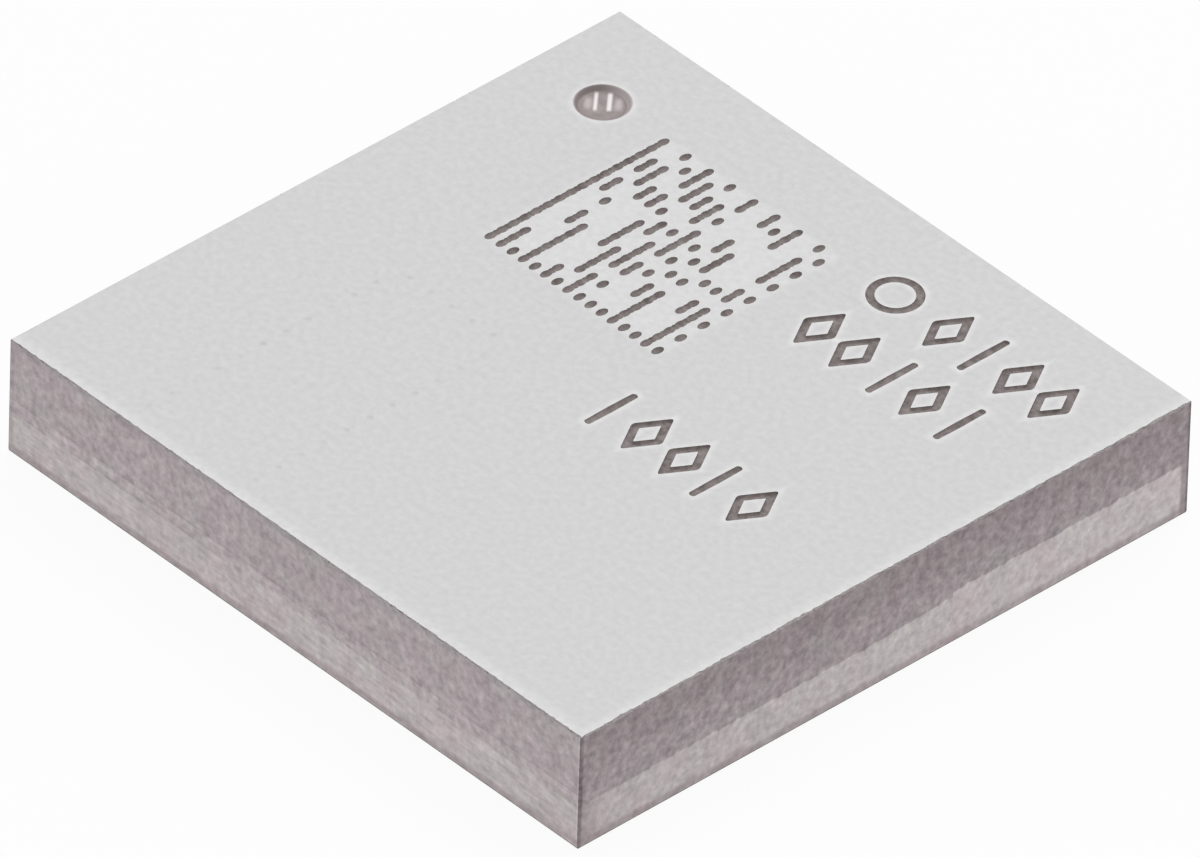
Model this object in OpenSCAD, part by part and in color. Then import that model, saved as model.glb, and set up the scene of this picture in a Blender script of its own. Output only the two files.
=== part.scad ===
// Shielded amplifier module in a land-grid package, in millimetres.
// The origin is the centre of the underside. X runs along the reading direction of the top face,
// Z points up, and pin one is at the corner of lowest X and highest Y.

/* [Package] */
// Length along X
body_x = 5.1; // [4.9:0.05:6]
// Width along Y
body_y = 5; // [4.8:0.05:6]
// Height of the mold cap above the laminate
mold_t = 0.444; // [0.38:0.002:0.6]

/* [Shield coat] */
// Thickness of the metal coat on the top
coat_top_t = 0.006; // [0.004:0.001:0.02]
// Thickness of the metal coat on the sides
coat_side_t = 0.005; // [0.004:0.001:0.02]
// Height of the coat's lower edge above the seating plane
coat_lift = 0.01; // [0.005:0.005:0.075]

/* [Pin-one mark] */
// Diameter of the round recess at its rim
mark_d = 0.35; // [0.25:0.01:0.6]
// Depth of the recess
mark_depth = 0.03; // [0.01:0.005:0.06]
// Level run of the recess's sloping wall, from its rim in to its floor
mark_run = 0.025; // [0:0.005:0.06]
// Recess centre from the edge of lowest X
mark_x = 0.61; // [0.4:0.01:1]
// Recess centre from the edge of highest Y
mark_y = 0.7; // [0.4:0.01:1]

/* [Laminate] */
// Thickness of the outer copper, the lands and the component pads
copper_t = 0.015; // [0.01:0.001:0.035]
// Solder mask beyond the outer copper
mask_cover = 0.005; // [0.003:0.001:0.02]
// Thickness of each prepreg between the outer copper and a ground plane
prepreg_t = 0.055; // [0.04:0.005:0.1]
// Thickness of each ground plane
plane_t = 0.018; // [0.012:0.001:0.035]
// Thickness of the core between the ground planes
core_t = 0.214; // [0.1:0.002:0.4]

/* [Lands] */
// Pitch of the signal lands along an edge
land_pitch = 0.45; // [0.4:0.05:0.65]
// Width of a signal land along its edge
land_w = 0.25; // [0.18:0.01:0.3]
// Length of a signal land across its edge
land_l = 0.35; // [0.3:0.01:0.45]
// Distance of the lands from the package edge
land_edge = 0.1; // [0.05:0.01:0.15]
// Smallest gap between lands of different rows
land_gap = 0.2; // [0.15:0.01:0.3]
// Radius of the corners of a land
land_r = 0.04; // [0.01:0.01:0.06]
// Chamfer that marks the corner land of pin one
pin_one_cut = 0.14; // [0.08:0.01:0.2]
// Side of a ground land
ground_land = 0.55; // [0.4:0.01:0.7]
// Pitch of the ground lands
ground_pitch = 0.75; // [0.72:0.01:0.95]

/* [Ground planes] */
// Gap between a ground plane's body and the signal vias
plane_clear = 0.085; // [0.05:0.005:0.15]
// Width of the fingers that join a ground plane to the coat
finger_w = 0.12; // [0.08:0.01:0.18]

/* [Vias] */
// Diameter of a signal via
via_d = 0.1; // [0.06:0.01:0.14]
// Diameter of a signal via's pad on the component side
via_pad_d = 0.18; // [0.15:0.01:0.24]
// Distance of a signal via from the outer end of its land
via_inset = 0.125; // [0.08:0.005:0.16]
// Diameter of a ground via
ground_via_d = 0.12; // [0.08:0.01:0.16]
// Pitch of the ground vias in a land
ground_via_pitch = 0.25; // [0.2:0.01:0.35]
// Diameter of a microvia
microvia_d = 0.06; // [0.04:0.005:0.08]
// Pitch of the microvias under an amplifier die
microvia_pitch = 0.12; // [0.1:0.01:0.2]

/* [Fence] */
// Fence line from the edge of lowest X
fence_x = 1.03; // [0.95:0.01:1.15]
// Distance between the two columns of the fence
fence_w = 0.955; // [0.8:0.005:1.1]
// Upper row of the fence from the edge of highest Y
fence_y = 2.76; // [2.6:0.01:2.9]
// Pitch of the wires
wire_pitch = 0.185; // [0.15:0.005:0.25]
// Smallest distance of a wire from the package edge
wire_edge = 0.15; // [0.12:0.01:0.3]
// Diameter of a wire
wire_d = 0.04; // [0.02:0.005:0.05]
// Diameter of the bond at the foot of a wire
bond_d = 0.07; // [0.055:0.005:0.09]
// Height of the bond's round foot
bond_h = 0.02; // [0.01:0.005:0.04]
// Free width on each side of the fence
fence_clear = 0.12; // [0.08:0.01:0.16]

/* [Dies] */
// Power amplifier die along X
power_x = 0.55; // [0.4:0.01:0.65]
// Power amplifier die along Y
power_y = 0.75; // [0.5:0.01:0.9]
// Driver amplifier die along X
driver_x = 0.55; // [0.4:0.01:0.65]
// Driver amplifier die along Y
driver_y = 0.45; // [0.4:0.01:0.6]
// Low-noise amplifier die along X
lna_x = 0.75; // [0.5:0.01:0.9]
// Low-noise amplifier die along Y
lna_y = 0.65; // [0.5:0.01:0.8]
// Antenna switch die along X
antenna_x = 1.1; // [0.8:0.01:1.3]
// Antenna switch die along Y
antenna_y = 0.75; // [0.5:0.01:0.9]
// Band switch die along X
band_x = 0.9; // [0.7:0.01:1.1]
// Band switch die along Y
band_y = 0.8; // [0.6:0.01:0.95]
// Bias controller die along X
control_x = 1; // [0.8:0.01:1.2]
// Bias controller die along Y
control_y = 0.9; // [0.7:0.01:1]
// Filter die along X
filter_x = 0.8; // [0.6:0.01:0.95]
// Filter die along Y
filter_y = 0.7; // [0.5:0.01:0.85]
// Thickness of the power and driver amplifier dies
amplifier_t = 0.1; // [0.07:0.005:0.2]
// Thickness of the silicon dies
silicon_t = 0.15; // [0.1:0.005:0.22]
// Thickness of the filter dies
filter_t = 0.2; // [0.15:0.005:0.24]
// Gap between a die and the solder mask
standoff = 0.05; // [0.03:0.005:0.07]
// Filter dies in the row at the upper edge
filter_count = 4; // [1:1:5]
// Filter dies beside the low-noise amplifier
side_filter_count = 2; // [1:1:2]

/* [Pillars] */
// Diameter of a pillar
pillar_d = 0.08; // [0.05:0.005:0.1]
// Smallest pitch of the pillars of a silicon or amplifier die
pillar_pitch = 0.2; // [0.15:0.01:0.3]
// Smallest pitch of the pillars of a filter die
filter_pitch = 0.3; // [0.2:0.01:0.4]
// Distance of the outer pillars' centres from the die's edge
pillar_edge = 0.1; // [0.08:0.01:0.14]
// Width of the copper bar that cools an amplifier die
bar_w = 0.12; // [0.08:0.01:0.14]
// Thickness of the solder under pillars and passives
solder_t = 0.015; // [0.01:0.001:0.03]
// Copper of a pad beyond what stands on it
pad_rim = 0.02; // [0.01:0.005:0.03]

/* [Passives] */
// Capacitor length
cap_l = 0.4; // [0.3:0.01:0.44]
// Capacitor width
cap_w = 0.2; // [0.15:0.01:0.25]
// Capacitor height
cap_h = 0.2; // [0.12:0.01:0.25]
// Length of a capacitor's end cap
cap_end = 0.1; // [0.06:0.01:0.13]
// Inductor length
coil_l = 0.6; // [0.5:0.01:0.7]
// Inductor width
coil_w = 0.3; // [0.2:0.01:0.35]
// Inductor height
coil_h = 0.3; // [0.2:0.01:0.32]
// Length of an inductor's end cap
coil_end = 0.13; // [0.08:0.01:0.2]
// Wall of the end caps
end_wall = 0.01; // [0.006:0.002:0.02]
// Reach of the solder beyond an end cap
fillet_l = 0.05; // [0.02:0.01:0.06]
// Height of the solder on an end cap
fillet_h = 0.07; // [0.03:0.01:0.1]
// Gap between the signal vias' pads and the components
via_clear = 0.045; // [0.02:0.005:0.07]
// Capacitors in the row between the dies
upper_cap_count = 5; // [1:1:6]
// Capacitors in the row at the lower edge
lower_cap_count = 4; // [1:1:4]
// Capacitors beside the fence
left_cap_count = 4; // [1:1:6]
// Inductors in their row
coil_count = 3; // [1:1:3]

/* [Hidden] */
$fn = 48;
// Allowance for rounding when a count is worked out
rounding = 1e-6;
// Overlap of a cutting solid past the face that it leaves
cut_past = 0.01;
mask_t = copper_t + mask_cover;

// Distances from the package edge, set by the signal vias
via_edge = land_edge + via_inset;
plane_edge = via_edge + via_d / 2 + plane_clear;
keep_out = via_edge + via_pad_d / 2 + via_clear;

// Levels of the layers, from the seating plane up
z_lower_plane = mask_t + prepreg_t;
z_core = z_lower_plane + plane_t;
z_upper_plane = z_core + core_t;
z_upper_prepreg = z_upper_plane + plane_t;
z_pads = z_upper_prepreg + prepreg_t;
z_joint = z_pads + copper_t;
z_mold = z_pads + mask_t;
z_mold_top = z_mold + mold_t;
z_top = z_mold_top + coat_top_t;
z_part = z_joint + solder_t;
z_die = z_mold + standoff;

// Extra radius of the mold's recess, which leaves the side coat's thickness square to the sloping wall
mark_slope = mark_run / mark_depth;
mark_lining = coat_side_t * sqrt(1 + mark_slope * mark_slope) - coat_top_t * mark_slope;

// Limits of the component area and of the fence
x_lo = -body_x / 2 + keep_out;
x_hi = body_x / 2 - keep_out;
y_lo = -body_y / 2 + keep_out;
y_hi = body_y / 2 - keep_out;
fence_left = -body_x / 2 + fence_x;
fence_right = fence_left + fence_w;
fence_top = body_y / 2 - fence_y;
y_split = fence_top + fence_clear;

// Sum of the first n values of a list
function total(values, n) = n == 0 ? 0 : values[n - 1] + total(values, n - 1);

// Centre of item i when items of these sizes share a span with equal gaps
function spread(sizes, low, high, i) =
    let (gap = (high - low - total(sizes, len(sizes))) / (len(sizes) + 1))
    low + gap * (i + 1) + total(sizes, i) + sizes[i] / 2;

// Number of places at a pitch along a distance between the outer two
function places(distance, pitch) = max(1, floor(distance / pitch + rounding) + 1);

// Offsets of n places about their middle
function offsets(n, pitch) = [for (i = [0 : n - 1]) (i - (n - 1) / 2) * pitch];

// Offsets of as many places as keep the smallest pitch, spread over the whole distance
function spanning(distance, pitch) =
    let (n = places(distance, pitch))
    offsets(n, n > 1 ? distance / (n - 1) : 0);

// Number of signal lands along an edge of the package
function side_count(edge) =
    places(edge - 2 * (land_edge + land_l + land_gap) - land_w, land_pitch);

// Offsets of the ground lands across the package
function ground_offsets(edge) =
    offsets(places(edge - 2 * (land_edge + land_l + land_gap) - ground_land, ground_pitch), ground_pitch);

// Floor plan: sizes of the rows of each area from its lower row up, and sizes along each row
upper_rows = [max(antenna_y, lna_y, filter_y), cap_w, filter_y];
right_rows = [cap_w, coil_w, max(control_y, band_y)];
fenced_rows = [power_y, driver_y];
function same(count, size) = [for (i = [1 : count]) size];
switch_row = concat([antenna_x, lna_x], same(side_filter_count, filter_x));
filter_row = same(filter_count, filter_x);
control_row = [band_x, control_x];
upper_caps = same(upper_cap_count, cap_l);
left_caps = same(left_cap_count, cap_w);
lower_caps = same(lower_cap_count, cap_l);
coil_row = same(coil_count, coil_l);

function upper_y(i) = spread(upper_rows, y_split, y_hi, i);
function right_y(i) = spread(right_rows, y_lo, y_split, i);
function fenced_y(i) = spread(fenced_rows, y_lo, fence_top - fence_clear, i);
function across(row, i) = spread(row, x_lo, x_hi, i);
function right_x(row, i) = spread(row, fence_right + fence_clear, x_hi, i);
fenced_x = (fence_left + fence_right) / 2;
left_x = (x_lo + fence_left - fence_clear) / 2;

// Dies: name, centre, size, pillar pitch, whether a bar cools it, colour
gallium = [0.36, 0.34, 0.38];
silicon = [0.42, 0.44, 0.5];
crystal = [0.74, 0.75, 0.7];
power_size = [power_x, power_y, amplifier_t];
driver_size = [driver_x, driver_y, amplifier_t];
antenna_size = [antenna_x, antenna_y, silicon_t];
lna_size = [lna_x, lna_y, silicon_t];
band_size = [band_x, band_y, silicon_t];
control_size = [control_x, control_y, silicon_t];
filter_size = [filter_x, filter_y, filter_t];
amplifiers = [
    ["power_amplifier_die", [fenced_x, fenced_y(0)], power_size, pillar_pitch, true, gallium],
    ["driver_amplifier_die", [fenced_x, fenced_y(1)], driver_size, pillar_pitch, true, gallium],
];
antenna_at = [across(switch_row, 0), upper_y(0)];
lna_at = [across(switch_row, 1), upper_y(0)];
band_at = [right_x(control_row, 0), right_y(2)];
control_at = [right_x(control_row, 1), right_y(2)];
silicon_dies = [
    ["antenna_switch_die", antenna_at, antenna_size, pillar_pitch, false, silicon],
    ["low_noise_amplifier_die", lna_at, lna_size, pillar_pitch, false, silicon],
    ["band_switch_die", band_at, band_size, pillar_pitch, false, silicon],
    ["bias_controller_die", control_at, control_size, pillar_pitch, false, silicon],
];
filter_places = concat(
    [for (i = [0 : len(filter_row) - 1]) [across(filter_row, i), upper_y(2)]],
    [for (i = [2 : len(switch_row) - 1]) [across(switch_row, i), upper_y(0)]]
);
filters = [
    for (i = [0 : len(filter_places) - 1])
        [str("filter_die_", i + 1), filter_places[i], filter_size, filter_pitch, false, crystal]
];
DIES = concat(amplifiers, silicon_dies, filters);

function die_name(die) = die[0];
function die_at(die) = die[1];
function die_size(die) = die[2];
function die_pitch(die) = die[3];
function die_has_bar(die) = die[4];
function die_colour(die) = die[5];
function pillars_name(die) = str(die_name(die), "_pillars");

// Pillar places on a die. A cooled die has only its two outer columns, beside the bar.
function pillar_places(die) =
    let (
        reach = [for (k = [0, 1]) die_size(die)[k] - 2 * pillar_edge],
        columns = die_has_bar(die) ? [-reach[0] / 2, reach[0] / 2] : spanning(reach[0], die_pitch(die))
    )
    [for (x = columns, y = spanning(reach[1], die_pitch(die))) [x, y]];

function bar_l(die) = die_size(die)[1] - 2 * pillar_edge + pillar_d;

// Passives: length, width, height and end cap, and the places of each kind
cap = [cap_l, cap_w, cap_h, cap_end];
coil = [coil_l, coil_w, coil_h, coil_end];
cap_places = concat(
    [for (i = [0 : len(upper_caps) - 1]) [across(upper_caps, i), upper_y(1)]],
    [for (i = [0 : len(left_caps) - 1]) [left_x, spread(left_caps, y_lo, y_split, i)]],
    [for (i = [0 : len(lower_caps) - 1]) [right_x(lower_caps, i), right_y(0)]]
);
coil_places = [for (i = [0 : len(coil_row) - 1]) [right_x(coil_row, i), right_y(1)]];

// Wires: a row across the top of the fence and a column down each side, one pitch below the row
fence_row = offsets(places(fence_w - 2 * bond_d, wire_pitch), wire_pitch);
column_start = fence_top - wire_pitch;
column_count = places(column_start + body_y / 2 - wire_edge, wire_pitch);
fence_columns = [for (i = [0 : column_count - 1]) column_start - i * wire_pitch];
wire_places = concat(
    [for (x = fence_row) [fenced_x + x, fence_top]],
    [for (x = [fence_left, fence_right], y = fence_columns) [x, y]]
);
grounded_wires = [
    for (place = wire_places) if (place[1] > -body_y / 2 + plane_edge + microvia_d) place
];

LAYERS = [
    "bottom_solder_mask", "signal_lands", "corner_lands", "ground_lands",
    "lower_prepreg", "lower_ground_plane", "laminate_core", "upper_ground_plane", "upper_prepreg",
    "signal_vias", "ground_vias", "microvias", "component_pads", "top_solder_mask"
];
PARTS = [
    "solder_caps", "capacitor_bodies", "capacitor_ends", "inductor_bodies", "inductor_ends",
    "solder_joints", "fence_wires", "mold_cap", "shield_coat"
];

copper = [0.78, 0.49, 0.28];
gold = [0.86, 0.7, 0.36];
mask_green = [0.16, 0.27, 0.2];
resin = [0.7, 0.66, 0.5];
tin = [0.74, 0.75, 0.77];
tan_ceramic = [0.72, 0.62, 0.5];
blue_ceramic = [0.3, 0.42, 0.56];
mold_grey = [0.3, 0.29, 0.3];
metal_grey = [0.83, 0.83, 0.83];

// Block of the package's uncoated outline between two levels
module slab(low, high) {
    size = [body_x - 2 * coat_side_t, body_y - 2 * coat_side_t, high - low];
    translate([-size[0] / 2, -size[1] / 2, low])
        cube(size);
}

// Rectangle with round corners, about its centre
module rounded(size, r) {
    square([size[0] - 2 * r, size[1]], center = true);
    square([size[0], size[1] - 2 * r], center = true);
    for (x = [-1, 1], y = [-1, 1])
        translate([x * (size[0] / 2 - r), y * (size[1] / 2 - r)])
            circle(r);
}

// Repeats its child at the signal lands of all four sides, or between them.
// The child stands at the package edge, with Y pointing inwards.
module along_sides(between = false) {
    for (side = [0 : 3]) {
        across_x = side % 2 == 0;
        edge = across_x ? body_x : body_y;
        reach = across_x ? body_y : body_x;
        rotate(side * 90)
            translate([0, -reach / 2, 0])
                for (x = offsets(side_count(edge) - (between ? 1 : 0), land_pitch))
                    translate([x, 0, 0])
                        children();
    }
}

// Repeats its child in the four corners, at a distance from both edges
module in_corners(inset) {
    for (x = [-1, 1], y = [-1, 1])
        translate([x * (body_x / 2 - inset), y * (body_y / 2 - inset), 0])
            children();
}

// Repeats its child at the ground lands
module at_ground_lands() {
    for (x = ground_offsets(body_x), y = ground_offsets(body_y))
        translate([x, y, 0])
            children();
}

// Repeats its child at a list of places
module at_places(list) {
    for (place = list)
        translate([place[0], place[1], 0])
            children();
}

// Land outlines between two levels, for the copper and for the openings in the mask
module signal_land_blocks(low, high) {
    along_sides()
        translate([0, land_edge + land_l / 2, low])
            linear_extrude(high - low)
                rounded([land_w, land_l], land_r);
}

module corner_land_blocks(low, high) {
    inset = land_edge + land_l / 2;
    difference() {
        in_corners(inset)
            translate([0, 0, low])
                linear_extrude(high - low)
                    rounded([land_l, land_l], land_r);
        translate([-body_x / 2 + land_edge + land_l, body_y / 2 - land_edge - land_l, low - cut_past])
            linear_extrude(high - low + 2 * cut_past)
                polygon([[-pin_one_cut, -cut_past], [cut_past, -cut_past], [cut_past, pin_one_cut]]);
    }
}

module ground_land_blocks(low, high) {
    at_ground_lands()
        translate([0, 0, low])
            linear_extrude(high - low)
                rounded([ground_land, ground_land], land_r);
}

// Underside: lands set back in a solder mask
module signal_lands() {
    color(gold)
        signal_land_blocks(mask_cover, mask_t);
}

module corner_lands() {
    color(gold)
        corner_land_blocks(mask_cover, mask_t);
}

module ground_lands() {
    color(gold)
        ground_land_blocks(mask_cover, mask_t);
}

module bottom_solder_mask() {
    color(mask_green)
        difference() {
            slab(0, mask_t);
            signal_land_blocks(-cut_past, mask_t + cut_past);
            corner_land_blocks(-cut_past, mask_t + cut_past);
            ground_land_blocks(-cut_past, mask_t + cut_past);
        }
}

// Vias between two levels
module signal_via_posts(low, high) {
    along_sides()
        translate([0, via_edge, low])
            cylinder(d = via_d, h = high - low);
}

module ground_via_posts(low, high) {
    grid = offsets(places(ground_land - 2 * ground_via_d, ground_via_pitch), ground_via_pitch);
    at_ground_lands()
        for (x = grid, y = grid)
            translate([x, y, low])
                cylinder(d = ground_via_d, h = high - low);
    in_corners(land_edge + land_l / 2)
        translate([0, 0, low])
            cylinder(d = ground_via_d, h = high - low);
}

module microvia_posts(low, high) {
    for (die = amplifiers)
        at_places([die_at(die)])
            for (y = offsets(places(bar_l(die) - 2 * microvia_d, microvia_pitch), microvia_pitch))
                translate([0, y, low])
                    cylinder(d = microvia_d, h = high - low);
    at_places(grounded_wires)
        translate([0, 0, low])
            cylinder(d = microvia_d, h = high - low);
}

module signal_vias() {
    color(copper)
        signal_via_posts(mask_t, z_pads);
}

module ground_vias() {
    color(copper)
        ground_via_posts(mask_t, z_upper_prepreg);
}

module microvias() {
    color(copper)
        microvia_posts(z_upper_prepreg, z_pads);
}

// Ground plane with a lobe in each corner, and fingers between the signal vias that meet the coat
module plane_sheet(low) {
    lobe = plane_edge + finger_w - land_edge;
    translate([0, 0, low])
        linear_extrude(plane_t) {
            square([body_x - 2 * plane_edge, body_y - 2 * plane_edge], center = true);
            along_sides(between = true)
                translate([-finger_w / 2, coat_side_t])
                    square([finger_w, plane_edge + finger_w - coat_side_t]);
            in_corners(land_edge + lobe / 2)
                square(lobe, center = true);
        }
}

module ground_plane(low) {
    color(copper)
        difference() {
            plane_sheet(low);
            ground_via_posts(low - cut_past, low + plane_t + cut_past);
        }
}

module lower_ground_plane() {
    ground_plane(z_lower_plane);
}

module upper_ground_plane() {
    ground_plane(z_upper_plane);
}

// Dielectric layers, each pressed round the copper that it holds
module lower_prepreg() {
    color(resin)
        difference() {
            slab(mask_t, z_core);
            plane_sheet(z_lower_plane);
            signal_via_posts(mask_t - cut_past, z_core + cut_past);
            ground_via_posts(mask_t - cut_past, z_core + cut_past);
        }
}

module laminate_core() {
    color(resin)
        difference() {
            slab(z_core, z_upper_plane);
            signal_via_posts(z_core - cut_past, z_upper_plane + cut_past);
            ground_via_posts(z_core - cut_past, z_upper_plane + cut_past);
        }
}

module upper_prepreg() {
    color(resin)
        difference() {
            slab(z_upper_plane, z_pads);
            plane_sheet(z_upper_plane);
            signal_via_posts(z_upper_plane - cut_past, z_pads + cut_past);
            microvia_posts(z_upper_prepreg, z_pads + cut_past);
        }
}

// Round posts and cooling bars of a die between two levels, with a margin round them
module pillar_posts(die, low, high, margin = 0) {
    at_places([die_at(die)]) {
        for (place = pillar_places(die))
            translate([place[0], place[1], low])
                cylinder(d = pillar_d + 2 * margin, h = high - low);
        if (die_has_bar(die))
            translate([0, 0, (low + high) / 2])
                cube([bar_w + 2 * margin, bar_l(die) + 2 * margin, high - low], center = true);
    }
}

// Solder under one end of a passive, climbing the end cap, with the end cap's inner edge at X 0
module end_joint(size) {
    end = size[3];
    translate([size[0] / 2 - end, 0, z_joint])
        rotate([90, 0, 0])
            linear_extrude(size[1], center = true)
                polygon([
                    [0, 0], [end + fillet_l, 0], [end + fillet_l, mask_cover],
                    [end, solder_t + fillet_h], [end, solder_t], [0, solder_t]
                ]);
}

module passive_joints(size) {
    for (x = [0, 1])
        mirror([x, 0, 0])
            end_joint(size);
}

// The two ends of a passive, before the body is taken out of them
module end_blocks(size) {
    for (x = [-1, 1])
        translate([x * (size[0] - size[3]) / 2, 0, z_part + size[2] / 2])
            cube([size[3], size[1], size[2]], center = true);
}

module passive_body(size) {
    translate([0, 0, z_part + size[2] / 2])
        cube([for (k = [0 : 2]) size[k] - 2 * end_wall], center = true);
}

// Cup-shaped end caps over the two ends of the body
module passive_ends(size) {
    difference() {
        end_blocks(size);
        passive_body(size);
    }
}

// Room that a passive and its joints take in the mold
module passive_room(size) {
    passive_body(size);
    passive_joints(size);
    end_blocks(size);
}

module passive_pads(size) {
    pad = [size[3] + fillet_l + 2 * pad_rim, size[1] + 2 * pad_rim, copper_t];
    for (x = [-1, 1])
        translate([x * (size[0] / 2 + fillet_l + pad_rim - pad[0] / 2), 0, z_pads + copper_t / 2])
            cube(pad, center = true);
}

// Upright wire with a round foot and a tapered neck, from its pad up to the coat
module fence_wire() {
    top = z_mold_top - z_joint;
    translate([0, 0, z_joint])
        rotate_extrude()
            polygon([
                [0, 0], [bond_d / 2, 0], [bond_d / 2, bond_h],
                [wire_d / 2, 2 * bond_h], [wire_d / 2, top], [0, top]
            ]);
}

// Component side: pads under the solder mask, with their joints through it
module component_pads() {
    color(copper) {
        for (die = DIES)
            pillar_posts(die, z_pads, z_joint, pad_rim);
        at_places(cap_places)
            passive_pads(cap);
        at_places(coil_places)
            passive_pads(coil);
        at_places(wire_places)
            translate([0, 0, z_pads])
                cylinder(d = bond_d + 2 * pad_rim, h = copper_t);
        along_sides()
            translate([0, via_edge, z_pads])
                cylinder(d = via_pad_d, h = copper_t);
    }
}

module top_solder_mask() {
    color(mask_green)
        difference() {
            slab(z_pads, z_mold);
            component_pads();
            joints_and_bonds();
        }
}

// All that stands on the pads, as far as the mask and the mold close round it
module joints_and_bonds() {
    for (die = DIES)
        pillar_posts(die, z_joint, z_die);
    at_places(cap_places)
        passive_room(cap);
    at_places(coil_places)
        passive_room(coil);
    at_places(wire_places)
        fence_wire();
}

module solder_caps() {
    color(tin)
        for (die = DIES)
            pillar_posts(die, z_joint, z_part);
}

module solder_joints() {
    color(tin) {
        at_places(cap_places)
            passive_joints(cap);
        at_places(coil_places)
            passive_joints(coil);
    }
}

module capacitor_bodies() {
    color(tan_ceramic)
        at_places(cap_places)
            passive_body(cap);
}

module capacitor_ends() {
    color(tin)
        at_places(cap_places)
            passive_ends(cap);
}

module inductor_bodies() {
    color(blue_ceramic)
        at_places(coil_places)
            passive_body(coil);
}

module inductor_ends() {
    color(tin)
        at_places(coil_places)
            passive_ends(coil);
}

module fence_wires() {
    color(copper)
        at_places(wire_places)
            fence_wire();
}

module die_block(die) {
    color(die_colour(die))
        translate([die_at(die)[0], die_at(die)[1], z_die + die_size(die)[2] / 2])
            cube(die_size(die), center = true);
}

module pillars(die) {
    color(copper)
        pillar_posts(die, z_part, z_die);
}

// Recess with a sloping wall in a face at a level, with its rim widened for the coat that lines it
module mark_recess(face_z, widened = 0) {
    rim_d = mark_d + 2 * widened;
    translate([-body_x / 2 + mark_x, body_y / 2 - mark_y, face_z]) {
        translate([0, 0, -mark_depth])
            cylinder(d1 = rim_d - 2 * mark_run, d2 = rim_d, h = mark_depth);
        cylinder(d = rim_d, h = z_top + cut_past - face_z);
    }
}

module mold_block() {
    difference() {
        slab(z_mold, z_mold_top);
        mark_recess(z_mold_top, mark_lining);
    }
}

module mold_cap() {
    color(mold_grey)
        difference() {
            mold_block();
            joints_and_bonds();
            for (die = DIES)
                die_block(die);
        }
}

// Coat over the top and the sides, which lines the recess
module shield_coat() {
    color(metal_grey)
        difference() {
            translate([-body_x / 2, -body_y / 2, coat_lift])
                cube([body_x, body_y, z_top - coat_lift]);
            mark_recess(z_top);
            slab(coat_lift - cut_past, z_mold + cut_past);
            mold_block();
        }
}

bottom_solder_mask();
signal_lands();
corner_lands();
ground_lands();
lower_prepreg();
lower_ground_plane();
laminate_core();
upper_ground_plane();
upper_prepreg();
signal_vias();
ground_vias();
microvias();
component_pads();
top_solder_mask();
solder_caps();
capacitor_bodies();
capacitor_ends();
inductor_bodies();
inductor_ends();
solder_joints();
fence_wires();
mold_cap();
shield_coat();
for (die = DIES) die_block(die);
for (die = DIES) pillars(die);
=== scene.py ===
import math
import random

import bpy
from mathutils import Matrix, Vector


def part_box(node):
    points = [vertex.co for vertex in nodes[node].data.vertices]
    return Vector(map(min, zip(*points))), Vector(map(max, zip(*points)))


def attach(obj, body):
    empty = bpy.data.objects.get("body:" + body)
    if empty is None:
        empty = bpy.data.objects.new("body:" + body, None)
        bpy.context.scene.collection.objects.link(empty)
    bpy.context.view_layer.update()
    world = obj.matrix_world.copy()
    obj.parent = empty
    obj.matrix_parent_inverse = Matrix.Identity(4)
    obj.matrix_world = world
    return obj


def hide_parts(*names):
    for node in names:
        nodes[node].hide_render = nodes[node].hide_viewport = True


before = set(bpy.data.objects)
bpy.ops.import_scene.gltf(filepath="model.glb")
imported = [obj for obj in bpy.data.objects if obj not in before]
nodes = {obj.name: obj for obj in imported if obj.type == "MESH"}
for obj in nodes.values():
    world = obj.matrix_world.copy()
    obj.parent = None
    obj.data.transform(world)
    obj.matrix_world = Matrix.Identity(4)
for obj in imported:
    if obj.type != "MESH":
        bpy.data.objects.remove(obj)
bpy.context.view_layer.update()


# Laminate: a core and two prepregs of woven glass in resin, pressed together round the copper.
# The board is sawn apart together with the cap, so its edges are dull and streaked along the cut.

mm_per_metre = 1000.0
no_stretch = (1.0, 1.0, 1.0)


def srgb(red, green, blue):
    """Linear colour of a screen colour that is given from 0 to 255."""
    parts = [part / 255 for part in (red, green, blue)]
    linear = [c / 12.92 if c <= 0.04045 else ((c + 0.055) / 1.055) ** 2.4 for c in parts]
    return (*linear, 1.0)


def add(tree, kind, inputs=None, **settings):
    """Adds a shader node. An input that is given a socket is linked to it, and any other is set."""
    made = tree.nodes.new(kind)
    for key, value in settings.items():
        setattr(made, key, value)
    for key, value in (inputs or {}).items():
        if isinstance(value, bpy.types.NodeSocket):
            tree.links.new(value, made.inputs[key])
        else:
            made.inputs[key].default_value = value
    return made


def mix(tree, mask, first, second):
    """Colour that goes from the first to the second with a mask."""
    # The node's inputs for numbers and for colours share their names, so they go by their order.
    colors = {0: mask, 6: first, 7: second}
    return add(tree, "ShaderNodeMix", colors, data_type="RGBA").outputs[2]


def sockets(group, in_out, **kinds):
    """Named sockets of a node group. An underscore in a name stands for a space."""
    for name, kind in kinds.items():
        label = name.replace("_", " ")
        group.interface.new_socket(name=label, in_out=in_out, socket_type="NodeSocket" + kind)


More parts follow.
